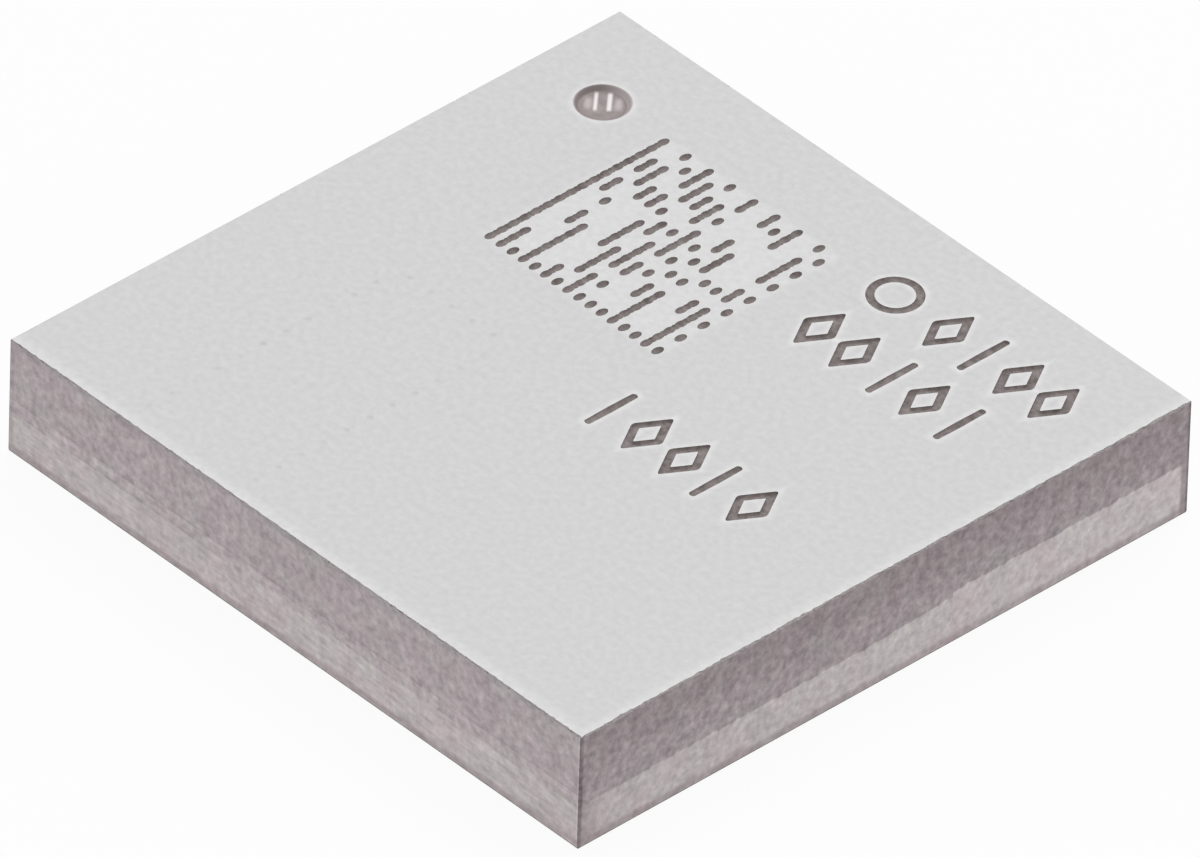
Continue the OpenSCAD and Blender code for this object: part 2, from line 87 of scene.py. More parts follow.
# Patches of uneven tone, of a grain in millimetres, drawn out along an axis by the stretch
uneven_tone = bpy.data.node_groups.new("uneven_tone", "ShaderNodeTree")
sockets(uneven_tone, "INPUT", Dark="Color", Light="Color", Grain="Float", Stretch="Vector")
sockets(uneven_tone, "OUTPUT", Color="Color", Tone="Float")
asked = add(uneven_tone, "NodeGroupInput").outputs
spot = add(uneven_tone, "ShaderNodeTexCoord").outputs["Object"]
drawn_out = add(uneven_tone, "ShaderNodeVectorMath", {0: spot, 1: asked["Stretch"]}, operation="DIVIDE")
grains = add(uneven_tone, "ShaderNodeMath", {0: mm_per_metre, 1: asked["Grain"]}, operation="DIVIDE")
noise = {"Vector": drawn_out.outputs[0], "Scale": grains.outputs[0], "Detail": 3.0, "Roughness": 0.55}
cloud = add(uneven_tone, "ShaderNodeTexNoise", noise).outputs[0]
contrast = {"Value": cloud, "From Min": 0.28, "From Max": 0.72}
patch_tone = add(uneven_tone, "ShaderNodeMapRange", contrast).outputs[0]
patch_color = mix(uneven_tone, patch_tone, asked["Dark"], asked["Light"])
add(uneven_tone, "NodeGroupOutput", {"Color": patch_color, "Tone": patch_tone})


def blank(name, metallic=0.0):
    """New material, with its nodes and its shader."""
    material = bpy.data.materials.new(name)
    material.use_nodes = True
    shader = material.node_tree.nodes["Principled BSDF"]
    shader.inputs["Metallic"].default_value = metallic
    return material, material.node_tree, shader


def grained(name, dark, light, grain, rough, metallic=0.0, relief=0.0, stretch=no_stretch):
    """Material of an uneven tone that its roughness and its fine relief, in metres, follow."""
    rough_swing = 0.08
    material, tree, shader = blank(name, metallic)
    tones = {"Dark": dark, "Light": light, "Grain": grain, "Stretch": stretch}
    patches = add(tree, "ShaderNodeGroup", tones, node_tree=uneven_tone).outputs
    tree.links.new(patches["Color"], shader.inputs["Base Color"])
    limits = {"Value": patches["Tone"], "To Min": rough + rough_swing, "To Max": rough - rough_swing}
    dulled = add(tree, "ShaderNodeMapRange", limits).outputs[0]
    tree.links.new(dulled, shader.inputs["Roughness"])
    if relief:
        bump = add(tree, "ShaderNodeBump", {"Height": patches["Tone"], "Distance": relief}).outputs[0]
        tree.links.new(bump, shader.inputs["Normal"])
    return material


def dress(material, *names):
    """Gives CAD nodes a material."""
    for name in names:
        nodes[name].data.materials.clear()
        nodes[name].data.materials.append(material)


woven_glass = grained(
    "woven_glass_resin",
    dark=srgb(142, 132, 94),
    light=srgb(176, 166, 124),
    grain=0.05,
    rough=0.6,
    relief=2e-6,
    stretch=(3, 3, 1),
)
dress(woven_glass, "lower_prepreg", "laminate_core", "upper_prepreg")


# Board copper: two ground planes, the vias that join the layers and the pads of the component side.
# It is plated and etched, and darkened a little where it was treated to hold the resin.

plated_copper = grained(
    "plated_copper",
    dark=srgb(178, 104, 60),
    light=srgb(212, 138, 84),
    grain=0.03,
    rough=0.4,
    metallic=1.0,
    relief=8e-7,
)
dress(plated_copper, "lower_ground_plane", "upper_ground_plane")
dress(plated_copper, "signal_vias", "ground_vias", "microvias", "component_pads")


# Lands: copper of the underside, plated with nickel and gold, flush in openings of the solder mask.
# The plating is satin and keeps the fine grain of the copper under it.

gold_plating = grained(
    "gold_plating",
    dark=srgb(206, 164, 84),
    light=srgb(232, 194, 112),
    grain=0.025,
    rough=0.36,
    metallic=1.0,
    relief=6e-7,
)
dress(gold_plating, "signal_lands", "corner_lands", "ground_lands")


# Solder mask: a thin green lacquer, printed on both faces of the board and opened over the copper.
# It levels out with a faint orange-peel and a half gloss.

green_lacquer = grained(
    "green_lacquer",
    dark=srgb(32, 52, 40),
    light=srgb(42, 66, 51),
    grain=0.09,
    rough=0.42,
    relief=1.5e-6,
)
dress(green_lacquer, "bottom_solder_mask", "top_solder_mask")


# Solder: tin alloy under the pillars of the dies and under the ends of the passives.
# It is melted on the pads, and dulls as its grains set.

reflowed_tin = grained(
    "reflowed_tin",
    dark=srgb(172, 174, 178),
    light=srgb(206, 207, 210),
    grain=0.02,
    rough=0.38,
    metallic=1.0,
    relief=6e-7,
)
dress(reflowed_tin, "solder_caps", "solder_joints")


# Passives: stacked ceramic capacitors, tan, and wound-film inductors, blue, fired as blocks.
# Tin-plated cups close both ends and stand on the solder.

tan_ceramic = grained(
    "tan_ceramic",
    dark=srgb(172, 146, 116),
    light=srgb(196, 170, 140),
    grain=0.015,
    rough=0.62,
    relief=8e-7,
)
blue_ceramic = grained(
    "blue_ceramic",
    dark=srgb(66, 96, 132),
    light=srgb(88, 118, 154),
    grain=0.015,
    rough=0.58,
    relief=8e-7,
)
tin_plating = grained(
    "tin_plating",
    dark=srgb(186, 187, 189),
    light=srgb(214, 214, 215),
    grain=0.02,
    rough=0.4,
    metallic=1.0,
    relief=8e-7,
)
dress(tan_ceramic, "capacitor_bodies")
dress(blue_ceramic, "inductor_bodies")
dress(tin_plating, "capacitor_ends", "inductor_ends")


# Dies: silicon switches and controller, gallium arsenide amplifiers and filters of piezo crystal.
# They are ground thin on the back, which leaves fine lines one way, and stand face down.

ground_back = {"grain": 0.012, "rough": 0.3, "relief": 3e-7, "stretch": (12, 1, 1)}
silicon = grained("ground_silicon", dark=srgb(78, 83, 96), light=srgb(98, 104, 118), **ground_back)
arsenide = grained("ground_arsenide", dark=srgb(68, 62, 72), light=srgb(86, 80, 92), **ground_back)
crystal = grained(
    "lapped_crystal",
    dark=srgb(184, 187, 172),
    light=srgb(206, 208, 196),
    grain=0.015,
    rough=0.45,
    relief=4e-7,
    stretch=(1, 8, 1),
)
dress(silicon, "antenna_switch_die", "low_noise_amplifier_die", "band_switch_die", "bias_controller_die")
dress(arsenide, "power_amplifier_die", "driver_amplifier_die")
dress(crystal, *["filter_die_%d" % number for number in range(1, 7)])


# Pillars and fence: copper posts plated on the dies, and upright bond wires that join the coat to ground.
# Both are drawn or plated bright before the cap is molded round them.

bright_copper = grained(
    "bright_copper",
    dark=srgb(194, 118, 70),
    light=srgb(222, 150, 96),
    grain=0.02,
    rough=0.3,
    metallic=1.0,
    stretch=(1, 1, 6),
)
dress(bright_copper, "fence_wires", *[name for name in nodes if name.endswith("_pillars")])


# Mold cap: black epoxy full of fine silica, pressed over the parts and sawn flush with the board.
# Laser marks go through the coat into it, and the beam leaves their pits brown-grey and beaded.


def start(kind, **shape):
    """Adds a primitive at its size and place, alone in the selection, with both put into its mesh."""
    bpy.ops.object.select_all(action="DESELECT")
    getattr(bpy.ops.mesh, "primitive_" + kind + "_add")(**shape)
    bpy.ops.object.transform_apply(location=True, rotation=True, scale=True)
    return bpy.context.object


def take(piece):
    """Makes a piece the only selected one."""
    bpy.ops.object.select_all(action="DESELECT")
    piece.select_set(True)
    bpy.context.view_layer.objects.active = piece


def pick(piece, mode, test):
    """Selects the vertices, edges or faces whose corners pass a test, and stays in edit mode."""
    bpy.ops.object.mode_set(mode="OBJECT")
    take(piece)
    mesh = piece.data
    parts = {"VERT": mesh.vertices, "EDGE": mesh.edges, "FACE": mesh.polygons}
    for part in (*mesh.vertices, *mesh.edges, *mesh.polygons):
        part.select = False
    for part in parts[mode]:
        ends = [part.co] if mode == "VERT" else [mesh.vertices[number].co for number in part.vertices]
        part.select = test(ends)
    bpy.context.tool_settings.mesh_select_mode = [mode == kind for kind in parts]
    bpy.ops.object.mode_set(mode="EDIT")


def shift(piece, test, by):
    """Moves the vertices of a piece whose place passes a test."""
    pick(piece, "VERT", lambda ends: test(ends[0]))
    bpy.ops.transform.translate(value=by)
    bpy.ops.object.mode_set(mode="OBJECT")


def copies(model, places):
    """Copies of a modelled piece, each with its own mesh, at places."""
    made = []
    for place in places:
        made.append(bpy.data.objects.new(model.name, model.data.copy()))
        made[-1].location = place
        bpy.context.collection.objects.link(made[-1])
    return made


def join(name, pieces):
    """Joins pieces into one whose place is in its mesh."""
    take(pieces[0])
    for piece in pieces:
        piece.select_set(True)
    bpy.ops.object.join()
    bpy.ops.object.transform_apply(location=True, rotation=True, scale=True)
    bpy.context.object.name = name
    return bpy.context.object


def cut(piece, tool):
    """Cuts a tool out of a piece. The cut faces take the tool's material."""
    take(piece)
    knife = piece.modifiers.new("cut", "BOOLEAN")
    knife.object = tool
    knife.operation = "DIFFERENCE"
    knife.solver = "EXACT"
    knife.material_mode = "TRANSFER"
    bpy.ops.object.modifier_apply(modifier=knife.name)


def scaled(piece, factor):
    """Puts a change of unit into the mesh of a piece."""
    take(piece)
    piece.scale = (factor, factor, factor)
    bpy.ops.object.transform_apply(location=True, rotation=True, scale=True)


def shaded(piece):
    """Smooths a piece but for its sharp edges, and leaves its faces along the axes flat."""
    sharp = math.radians(40)
    along_axis = 0.999
    take(piece)
    bpy.ops.object.shade_smooth_by_angle(angle=sharp)
    for face in piece.data.polygons:
        if max(abs(part) for part in face.normal) > along_axis:
            face.use_smooth = False


coat_low, coat_high = [mm_per_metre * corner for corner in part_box("shield_coat")]
top = coat_high.z
hair = 1e-4  # millimetres, for telling apart what is level with a place and what is past it


def on_top(right, down):
    """Place on the top face, in millimetres from its left edge and from its far edge."""
    return Vector((coat_low.x + right, coat_high.y - down, top))


# Field of pits: each dot is one burst of the beam, and a neck joins two that follow in a column.
# The first column and the last row are full, the two other edges have every second dot, and the
# inside is left to chance.
field_left = 1.14
field_far = 0.69
column_pitch = 0.0995
row_pitch = 0.0947
cells = 16
share_after_gap = 0.42
share_after_dot = 0.6
ball = {"segments": 12, "ring_count": 6}
dot = start("uv_sphere", radius=1, scale=(0.0300, 0.0468, 0.020), **ball)
neck = start("uv_sphere", radius=1, scale=(0.0262, 0.030, 0.017), **ball)
chance = random.Random(92)
dots = []
necks = []
for column in range(cells):
    column_at = field_left + column_pitch * column
    above = False
    for row in range(cells):
        filled = chance.random() < (share_after_dot if above else share_after_gap)
        if row == 0:
            filled = column % 2 == 0
        if column == cells - 1:
            filled = row % 2 == 1
        if column == 0 or row == cells - 1:
            filled = True
        if filled:
            dots.append(on_top(column_at, field_far + row_pitch * row))
        if filled and above:
            necks.append(on_top(column_at, field_far + row_pitch * (row - 0.5)))
        above = filled

# Plain signs: a ring from a torus, a bar drawn out of a ball and a diamond inset from a four-sided block
stroke = 0.028  # half the width of a groove
groove = 0.018  # its depth
flatness = groove / stroke
ring_radius = 0.155
bar_reach = 0.182
diamond_x = 0.135
diamond_y = 0.225
corner_round = 0.024
wall_round = 0.008
ring = start("torus", major_segments=42, minor_segments=12, major_radius=ring_radius, minor_radius=stroke)
ring.scale.z = flatness
bpy.ops.object.transform_apply(location=True, rotation=True, scale=True)

lying = (math.radians(90), 0, 0)
bar = start("uv_sphere", radius=stroke, rotation=lying, scale=(1, flatness, 1), **ball)
shift(bar, lambda co: co.y > hair, (0, bar_reach, 0))
shift(bar, lambda co: co.y < -hair, (0, -bar_reach, 0))


def outer_corner(ends):
    """Whether an edge stands upright at a corner of the diamond's outer wall."""
    upright = ends[0].z * ends[1].z < 0
    return upright and abs(ends[0].x) / diamond_x + abs(ends[0].y) / diamond_y > 0.99


diamond = start("cylinder", vertices=4, radius=1, depth=2 * groove, scale=(diamond_x, diamond_y, 1))
pick(diamond, "FACE", lambda ends: min(end.z for end in ends) == max(end.z for end in ends))
bpy.ops.mesh.inset(thickness=2 * stroke, use_even_offset=True)
bpy.ops.mesh.bridge_edge_loops()
pick(diamond, "EDGE", outer_corner)
bpy.ops.mesh.bevel(offset=corner_round, segments=3, affect="EDGES")
pick(diamond, "EDGE", lambda ends: False)
bpy.ops.mesh.edges_select_sharp(sharpness=math.radians(85))
bpy.ops.mesh.bevel(offset=wall_round, segments=2, affect="EDGES", clamp_overlap=True)
bpy.ops.object.mode_set(mode="OBJECT")

# Each row has its distance from the far edge, and its signs with theirs from the left edge.
rows = [
    (0.65, {3.64: diamond, 3.95: bar, 4.26: diamond, 4.57: diamond, 3.17: ring}),
    (1.22, {3.11: diamond, 3.42: diamond, 3.75: bar, 4.04: diamond, 4.35: bar}),
    (2.71, {2.87: bar, 3.19: diamond, 3.52: diamond, 3.80: bar, 4.12: diamond}),
]
signs = [(on_top(right, down), sign) for down, row in rows for right, sign in row.items()]
drawn = [copy for place, sign in signs for copy in copies(sign, [place])]
marks = join("laser_marks", copies(dot, dots) + drawn)
runs = join("laser_runs", copies(neck, necks))

# Nicks that the saw leaves in the upper edges: many in the two edges that it comes out of, and few in the
# others
nick_pitch = 0.055
nick_stray = 0.15  # of the pitch
nick_depths = (0.006, 0.020)
nick_lengths = (0.009, 0.019)
nick_widths = (0.006, 0.014)
nick_tilt = 0.2
nick = start("ico_sphere", subdivisions=1, radius=1)
single_nicks = []
for along, across, line, share in (
    ("x", "y", coat_low.y, 0.22),
    ("y", "x", coat_high.x, 0.3),
    ("x", "y", coat_high.y, 0.1),
    ("y", "x", coat_low.x, 0.1),
):
    first = getattr(coat_low, along)
    last = getattr(coat_high, along)
    for number in range(1, int((last - first) / nick_pitch)):
        if chance.random() > share:
            continue
        place = Vector((0, 0, top))
        setattr(place, along, first + nick_pitch * (number + chance.uniform(-nick_stray, nick_stray)))
        setattr(place, across, line)
        size = Vector((0, 0, chance.uniform(*nick_depths)))
        setattr(size, along, chance.uniform(*nick_lengths))
        setattr(size, across, chance.uniform(*nick_widths))
        tilt_x = chance.uniform(-nick_tilt, nick_tilt)
        tilt_y = chance.uniform(-nick_tilt, nick_tilt)
        single_nicks += copies(nick, [place])
        single_nicks[-1].scale = size
        single_nicks[-1].rotation_euler = (tilt_x, tilt_y, 0)
nicks = join("saw_nicks", single_nicks)

# The two edges that the saw comes out of are ragged all along: an uneven bar takes off their corner.
overhang = 0.05
long_edge = 0.02
unevenness = 0.8  # of the bar's radius
ragged = []
for seed, radius, turn, length, place in (
    (3, 0.009, 0, coat_high.x - coat_low.x, (0, coat_low.y, top)),
    (8, 0.012, 90, coat_high.y - coat_low.y, (coat_high.x, 0, top)),
):
    four_sided = {"vertices": 4, "radius": radius, "depth": length + 2 * overhang}
    lying_along = (0, math.radians(90), math.radians(turn))
    edge = start("cylinder", location=place, rotation=lying_along, **four_sided)
    # Two rounds of cuts divide the bar into 170 short lengths.
    for cuts in (9, 16):
        pick(edge, "EDGE", lambda ends: (ends[0] - ends[1]).length > long_edge)
        bpy.ops.mesh.subdivide(number_cuts=cuts)
    bpy.ops.mesh.select_all(action="SELECT")
    bpy.ops.transform.vertex_random(offset=unevenness * radius, seed=seed)
    # Flat faces cut cleanly. The bent ones that the random moves leave would make stray slivers.
    bpy.ops.mesh.quads_convert_to_tris()
    bpy.ops.object.mode_set(mode="OBJECT")
    ragged.append(edge)

burnt_epoxy = grained(
    "burnt_epoxy",
    dark=srgb(112, 103, 101),
    light=srgb(156, 147, 145),
    grain=0.045,
    rough=0.8,
    relief=2e-6,
)
chipped_epoxy = grained(
    "chipped_epoxy",
    dark=srgb(150, 143, 143),
    light=srgb(182, 174, 174),
    grain=0.02,
    rough=0.8,
    relief=2e-6,
)
silica_epoxy = grained(
    "silica_epoxy",
    dark=srgb(40, 39, 39),
    light=srgb(58, 56, 56),
    grain=0.02,
    rough=0.7,
    relief=2e-6,
)
for tool in (marks, runs):
    tool.data.materials.append(burnt_epoxy)
for tool in (nicks, *ragged):
    tool.data.materials.append(chipped_epoxy)
for model in (dot, neck, nick):
    bpy.data.objects.remove(model)

cap = bpy.data.objects.new("molded_cap", nodes["mold_cap"].data.copy())
bpy.context.collection.objects.link(cap)
cap.data.materials.clear()
cap.data.materials.append(silica_epoxy)
# The copy of the CAD node is loose triangles, so they are merged first.
take(cap)
bpy.ops.object.mode_set(mode="EDIT")
bpy.ops.mesh.select_all(action="SELECT")
bpy.ops.mesh.remove_doubles(threshold=1e-7)
bpy.ops.object.mode_set(mode="OBJECT")
scaled(cap, mm_per_metre)
for tool in (marks, runs, nicks, *ragged):
    cut(cap, tool)
shaded(cap)
scaled(cap, 1 / mm_per_metre)
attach(cap, "root")
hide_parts("mold_cap")


# Shield coat: a few thousandths of a millimetre of metal, sputtered over the top and the sawn sides.
# It copies what is under it, so the sides show the cap and the board as bands, and it lines the
# pin-one recess.


def calc(tree, operation, first, second=0.0, third=0.0):
    """Result of one sum on values of a material."""
    return add(tree, "ShaderNodeMath", {0: first, 1: second, 2: third}, operation=operation).outputs[0]


def times(tree, first, second):
    """Product of two values."""
    return calc(tree, "MULTIPLY", first, second)


def less(tree, first, second):
    """First value less the second."""
    return calc(tree, "SUBTRACT", first, second)


def plus(tree, base, mask, amount):
    """Base value plus an amount where the mask is 1."""
    return calc(tree, "MULTIPLY_ADD", mask, amount, base)


def gap(tree, value, middle):
    """How far a value is from a middle, either way."""
    return calc(tree, "ABSOLUTE", less(tree, value, middle))


def ramp(tree, value, none_at, full_at):
    """Mask that goes smoothly from 0, where the value is none_at, to 1, where it is full_at."""
    limits = {"Value": value, "From Min": none_at, "From Max": full_at}
    return add(tree, "ShaderNodeMapRange", limits, interpolation_type="SMOOTHSTEP").outputs[0]


def toned(tree, color, gain):
    """Colour made lighter or darker by a gain."""
    return add(tree, "ShaderNodeVectorMath", {0: color, "Scale": gain}, operation="SCALE").outputs[0]


def millimetres(tree):
    """Place on the object along X, Y and Z, in millimetres."""
    spot = {0: add(tree, "ShaderNodeTexCoord").outputs["Object"], "Scale": mm_per_metre}
    spot = add(tree, "ShaderNodeVectorMath", spot, operation="SCALE").outputs[0]
    return add(tree, "ShaderNodeSeparateXYZ", {0: spot}).outputs


def patchy(tree, grain, stretch=no_stretch, **colors):
    """Outputs of the uneven tone, of a grain in millimetres."""
    asked = {"Grain": grain, "Stretch": stretch, **colors}
    return add(tree, "ShaderNodeGroup", asked, node_tree=uneven_tone).outputs


# Soft patch round a place on the top, where the metal is a little lighter
soft_patch = bpy.data.node_groups.new("soft_patch", "ShaderNodeTree")
sockets(soft_patch, "INPUT", Middle_X="Float", Middle_Y="Float")
sockets(soft_patch, "INPUT", Half_X="Float", Half_Y="Float", Fade="Float")
sockets(soft_patch, "OUTPUT", Mask="Float")
asked = add(soft_patch, "NodeGroupInput").outputs
spot = millimetres(soft_patch)
masks = []
for axis in ("X", "Y"):
    past = less(soft_patch, gap(soft_patch, spot[axis], asked["Middle " + axis]), asked["Half " + axis])
    masks.append(ramp(soft_patch, calc(soft_patch, "DIVIDE", past, asked["Fade"]), 1.0, 0.0))
add(soft_patch, "NodeGroupOutput", {"Mask": times(soft_patch, *masks)})

# Soft halo along a closed line round a place on the top: a ring at power 2, a diamond at power 1
halo = bpy.data.node_groups.new("halo", "ShaderNodeTree")
sockets(halo, "INPUT", Middle_X="Float", Middle_Y="Float", Half_X="Float", Half_Y="Float")
sockets(halo, "INPUT", Power="Float", Reach="Float", Stroke="Float", Fade="Float")
sockets(halo, "OUTPUT", Mask="Float")
asked = add(halo, "NodeGroupInput").outputs
spot = millimetres(halo)
total = 0.0
for axis in ("X", "Y"):
    share = calc(halo, "DIVIDE", gap(halo, spot[axis], asked["Middle " + axis]), asked["Half " + axis])
    total = calc(halo, "ADD", calc(halo, "POWER", share, asked["Power"]), total)
total = calc(halo, "POWER", total, calc(halo, "DIVIDE", 1.0, asked["Power"]))
past = less(halo, times(halo, gap(halo, total, 1.0), asked["Reach"]), asked["Stroke"])
add(halo, "NodeGroupOutput", {"Mask": ramp(halo, calc(halo, "DIVIDE", past, asked["Fade"]), 1.0, 0.0)})

# Row of faint dots under the coat, from a first to a last place
dot_row = bpy.data.node_groups.new("dot_row", "ShaderNodeTree")
sockets(dot_row, "INPUT", Along="Float", Across="Float", First="Float", Last="Float")
sockets(dot_row, "INPUT", Pitch="Float", Radius="Float")
sockets(dot_row, "OUTPUT", Mask="Float")
asked = add(dot_row, "NodeGroupInput").outputs
half = times(dot_row, asked["Pitch"], 0.5)
off = calc(dot_row, "ADD", less(dot_row, asked["Along"], asked["First"]), half)
off = less(dot_row, calc(dot_row, "WRAP", off, asked["Pitch"], 0.0), half)
square = plus(dot_row, times(dot_row, asked["Across"], asked["Across"]), off, off)
share = calc(dot_row, "DIVIDE", calc(dot_row, "SQRT", square), asked["Radius"])
after = calc(dot_row, "GREATER_THAN", asked["Along"], less(dot_row, asked["First"], half))
before = calc(dot_row, "LESS_THAN", asked["Along"], calc(dot_row, "ADD", asked["Last"], half))
within = times(dot_row, after, before)
add(dot_row, "NodeGroupOutput", {"Mask": times(dot_row, ramp(dot_row, share, 1.0, 0.3), within)})

# Top: even satin metal, a little lighter round the marks, with a painted highlight along the two edges
# that the lamp grazes
grazed_width = 0.11
fade = 0.05
recess_centre = on_top(0.61, 0.70)
recess_edge = 0.183
top_metal, tree, shader = blank("sputtered_metal", metallic=1.0)
shader.inputs["Roughness"].default_value = 0.72
spot = millimetres(tree)
satin = patchy(tree, 0.05, Dark=srgb(211, 211, 212), Light=srgb(220, 219, 219))["Color"]
# Painted highlight along the front and right edges of the top
front_edge_highlight = ramp(tree, spot["Y"], coat_low.y + grazed_width, coat_low.y)
right_edge_highlight = ramp(tree, spot["X"], coat_high.x - grazed_width, coat_high.x)
gain = plus(tree, 1.0, calc(tree, "MAXIMUM", front_edge_highlight, right_edge_highlight), 0.09)
round_bar = {"Half X": stroke, "Half Y": bar_reach + stroke, "Fade": fade}
round_ring = {
    "Half X": ring_radius,
    "Half Y": ring_radius,
    "Power": 2.0,
    "Reach": ring_radius,
    "Stroke": stroke,
    "Fade": fade,
}
# The diamond's halo follows the middle of its groove, at 0.088 from the diamond's own middle.
round_diamond = {**round_ring, "Half X": 0.102, "Half Y": 0.171, "Power": 1.0, "Reach": 0.088}
round_field = {"Half X": 0.76, "Half Y": 0.72, "Fade": 0.07}
round_recess = {
    **round_ring,
    "Half X": recess_edge,
    "Half Y": recess_edge,
    "Reach": recess_edge,
    "Stroke": 0.0,
}
around = {bar: (soft_patch, round_bar), ring: (halo, round_ring), diamond: (halo, round_diamond)}
lighter_halos = [(place, *around[sign], 0.10) for place, sign in signs]
lighter_halos.append((on_top(1.885, 1.40), soft_patch, round_field, 0.06))
lighter_halos.append((recess_centre, halo, round_recess, 0.09))
for place, group, sizes, lighter in lighter_halos:
    middle = {"Middle X": place.x, "Middle Y": place.y}
    mask = add(tree, "ShaderNodeGroup", {**middle, **sizes}, node_tree=group).outputs["Mask"]
    gain = plus(tree, gain, mask, lighter)

# The ends of the fence wires show faintly through the coat, on three sides of a rectangle.
fence_left = on_top(1.03, 0).x
fence_right = on_top(1.985, 0).x
fence_far = on_top(0, 2.76).y
wire_pitch = 0.185
far_row = (fence_left + 0.10, fence_left + 0.84)
side_row = (fence_far - 11 * wire_pitch, fence_far - wire_pitch)
strength = calc(tree, "ADD", patchy(tree, 0.3)["Tone"], 0.5)
for along, across, line, (first, last) in (
    (spot["X"], spot["Y"], fence_far, far_row),
    (spot["Y"], spot["X"], fence_left, side_row),
    (spot["Y"], spot["X"], fence_right, side_row),
):
    wires = {"Along": along, "Across": less(tree, across, line), "First": first, "Last": last}
    wires.update({"Pitch": wire_pitch, "Radius": 0.03})
    mask = add(tree, "ShaderNodeGroup", wires, node_tree=dot_row).outputs["Mask"]
    gain = plus(tree, gain, times(tree, mask, strength), -0.07)
tree.links.new(toned(tree, satin, gain), shader.inputs["Base Color"])

# Sides: the dull, cloudy cap above, the smoother board below with a step on one side, and painted shade
# on the right side's cap, under the top edge, at the foot and at the corners. Heights are in millimetres
# above the floor.
side_metal, tree, shader = blank("sputtered_side", metallic=1.0)
shader.inputs["Roughness"].default_value = 0.75
spot = millimetres(tree)
x = spot["X"]
y = spot["Y"]
z = spot["Z"]
skin = 0.01
across_x = calc(tree, "GREATER_THAN", calc(tree, "ABSOLUTE", x), coat_high.x - skin)
right_side = calc(tree, "GREATER_THAN", x, coat_high.x - skin)
across_y = less(tree, 1.0, across_x)
other_sides = less(tree, 1.0, right_side)
clouds = less(tree, patchy(tree, 0.11)["Tone"], 0.5)
specks = less(tree, patchy(tree, 0.05)["Tone"], 0.5)
streaks = less(tree, patchy(tree, 0.03, (6, 6, 1))["Tone"], 0.5)

# Painted shade darkens the front's cap under the top edge and the whole right side's cap, which also
# darkens towards its top.
shade_under_edge = ramp(tree, z, 0.78, 0.83)
up_the_cap = ramp(tree, z, 0.40, 0.82)
front_cap = mix(tree, shade_under_edge, srgb(190, 181, 184), srgb(182, 175, 178))
shaded_right_cap = mix(tree, up_the_cap, srgb(178, 169, 172), srgb(166, 156, 159))
color = mix(tree, right_side, front_cap, shaded_right_cap)
# The board's upper glass layer shows on the front as a streaked band between two lines.
upper_layer = times(tree, ramp(tree, z, 0.415, 0.395), other_sides)
color = mix(tree, upper_layer, color, srgb(196, 187, 190))
# The seam is level on three sides. On the right side it rises slowly, and then by a step.
seam_height = 0.32
step_at = 0.55
seam_rise = plus(tree, 0.325, ramp(tree, y, -0.2, step_at), 0.025)
seam_rise = plus(tree, seam_rise, calc(tree, "GREATER_THAN", y, step_at), 0.042)
seam = plus(tree, seam_height, right_side, less(tree, seam_rise, seam_height))
seam = plus(tree, plus(tree, seam, specks, 0.010), clouds, 0.014)
on_board = ramp(tree, less(tree, z, seam), 0.007, -0.007)
color = mix(tree, on_board, color, srgb(203, 196, 197))
# Painted shade: the foot darkens near the floor, in place of the floor's contact shadow
painted_foot_shade = ramp(tree, z, 0.082, 0.038)
color = mix(tree, painted_foot_shade, color, srgb(184, 174, 176))
# Painted shade darkens the sides towards their upright corners.
far_end = times(tree, across_x, ramp(tree, less(tree, coat_high.y, y), 0.078, 0.052))
near_end = times(tree, across_x, ramp(tree, less(tree, y, coat_low.y), 0.26, 0.03))
left_end = times(tree, across_y, ramp(tree, less(tree, x, coat_low.x), 0.06, 0.02))
corner = plus(tree, plus(tree, far_end, left_end, 0.5), near_end, 0.55)
color = mix(tree, corner, color, srgb(172, 162, 165))

mottling = plus(tree, times(tree, specks, 0.8), clouds, 0.5)
mottling_share = times(tree, plus(tree, 0.45, on_board, -0.15), plus(tree, 1.0, right_side, 0.2))
gain = plus(tree, 1.0, mottling, mottling_share)
gain = plus(tree, gain, times(tree, on_board, streaks), 0.05)
lighter_back = plus(tree, -0.035, ramp(tree, y, -2.0, 2.0), 0.08)
gain = plus(tree, gain, times(tree, on_board, right_side), lighter_back)
# Along each upright edge, painted shade darkens one side and a painted highlight lightens the other.
from_edge = less(tree, coat_high.x, calc(tree, "ABSOLUTE", x))
from_end = less(tree, coat_high.y, calc(tree, "ABSOLUTE", y))
bright = times(tree, across_y, ramp(tree, from_edge, 0.026, 0.012))
painted_edge_shade = times(tree, across_x, ramp(tree, from_end, 0.034, 0.012))
gain = plus(tree, gain, bright, 0.12)
gain = plus(tree, gain, painted_edge_shade, -0.35)
gain = plus(tree, gain, times(tree, upper_layer, streaks), 0.16)
for height in (0.315, 0.41):
    line = times(tree, ramp(tree, gap(tree, z, height), 0.014, 0.004), other_sides)
    gain = plus(tree, gain, line, -0.08)
pinkish = (1.02, 0.985, 1.0, 1.0)
greenish = (0.98, 1.015, 0.988, 1.0)
tint = mix(tree, patchy(tree, 0.22)["Tone"], pinkish, greenish)
color = add(tree, "ShaderNodeVectorMath", {0: color, 1: tint}, operation="MULTIPLY").outputs[0]
tree.links.new(toned(tree, color, gain), shader.inputs["Base Color"])
bump = add(tree, "ShaderNodeBump", {"Height": clouds, "Distance": 2e-6})
tree.links.new(bump.outputs[0], shader.inputs["Normal"])
